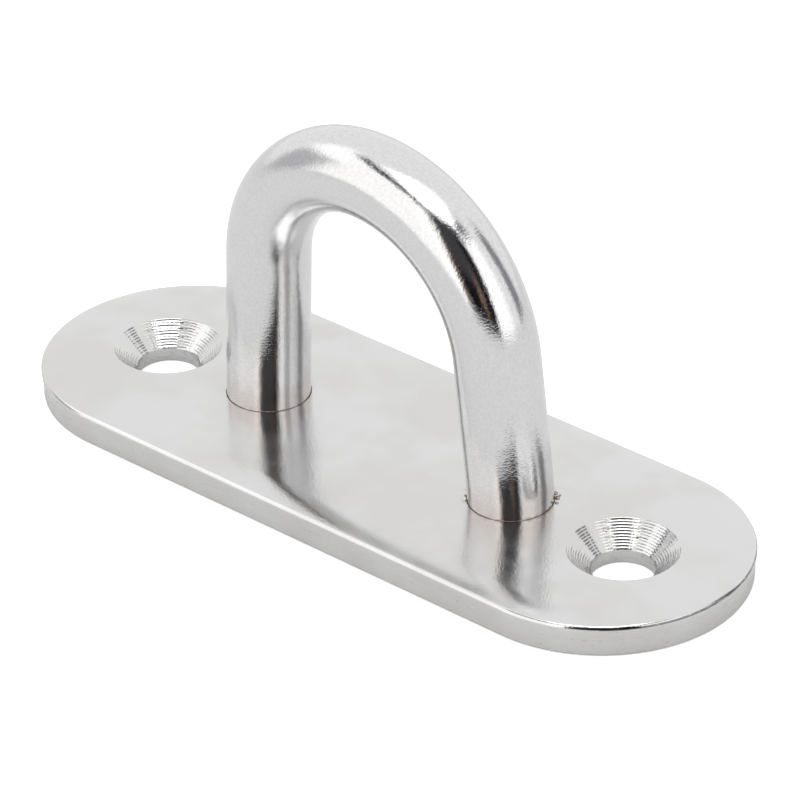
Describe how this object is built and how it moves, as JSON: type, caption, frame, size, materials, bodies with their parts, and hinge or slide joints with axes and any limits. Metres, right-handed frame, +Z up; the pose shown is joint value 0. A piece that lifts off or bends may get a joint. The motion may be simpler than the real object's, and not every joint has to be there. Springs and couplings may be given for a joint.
{
  "type": "pad eye",
  "caption": "Oblong base plate with countersunk screw holes and a welded round-bar bow, for tying off a rope, hook or shackle.",
  "frame": {"origin": "centre of the base plate's underside, which is the mounting face", "axes": "+X along the plate through both screw holes, +Y across the plate, which is the way a shackle pin goes through the eye, +Z up out of the mounting surface"},
  "size_m": [0.0792, 0.0282, 0.0351],
  "materials": {
    "plate_stainless": "stainless steel, satin polished",
    "bar_stainless": "stainless steel, bright polished",
    "weld_metal": "stainless weld metal, ground flush"
  },
  "bodies": {
    "root": {"base_plate": "plate_stainless", "eye_bar": "bar_stainless", "weld_left": "weld_metal", "weld_right": "weld_metal"}
  },
  "joints": []
}
